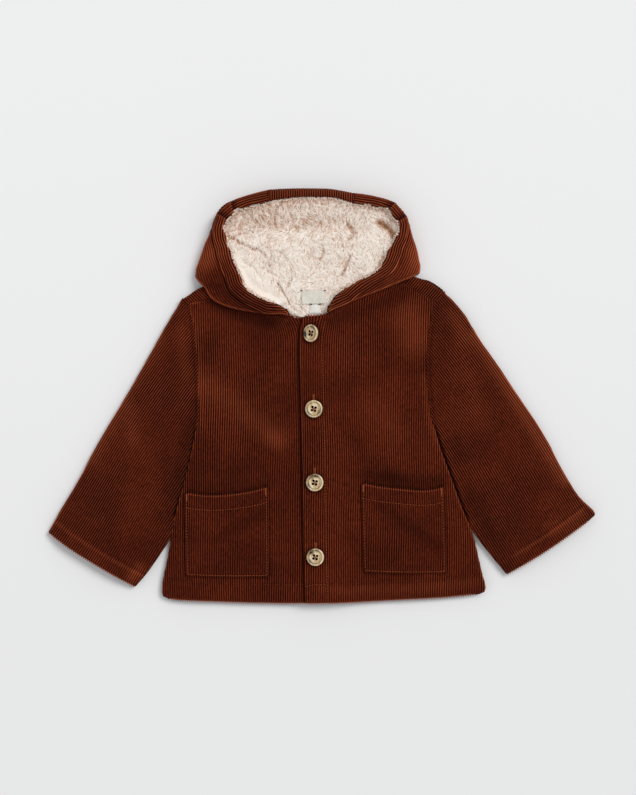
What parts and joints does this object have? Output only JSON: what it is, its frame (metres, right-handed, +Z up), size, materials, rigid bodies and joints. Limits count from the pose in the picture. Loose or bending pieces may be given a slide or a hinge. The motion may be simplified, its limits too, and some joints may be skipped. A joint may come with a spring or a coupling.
{
  "type": "hooded corduroy baby coat laid flat",
  "caption": "Small hooded coat of brown corduroy with a cream pile lining, buttoned up and laid flat on its back, sleeves spread.",
  "frame": {"origin": "bottom centre of the coat's box, on the surface it lies on", "axes": "+X from cuff to cuff, towards the side of the upper front; +Y from the hem towards the hood; +Z up from the surface"},
  "size_m": [0.5726, 0.4361, 0.0252],
  "materials": {
    "corduroy": "fine-wale cotton corduroy, reddish brown, soft nap with lighter ridges",
    "pile": "cream curly pile lining, matt and fluffy",
    "label": "plain woven satin label, bare",
    "tab": "plain white woven tab",
    "horn": "beige horn-like resin with dark mottling, satin polish"
  },
  "bodies": {
    "root": {"back_panel": "corduroy", "front_left": "corduroy", "front_right": "corduroy", "sleeve_left": "corduroy", "sleeve_right": "corduroy", "pocket_left": "corduroy", "pocket_right": "corduroy", "hood_side_left": "corduroy", "hood_side_right": "corduroy", "hood_centre": "corduroy", "hood_flap_left": "corduroy", "hood_flap_right": "corduroy", "hood_lining": "pile", "neck_label": "label", "size_tab": "tab", "button_1": "horn", "button_2": "horn", "button_3": "horn", "button_4": "horn"}
  },
  "joints": []
}
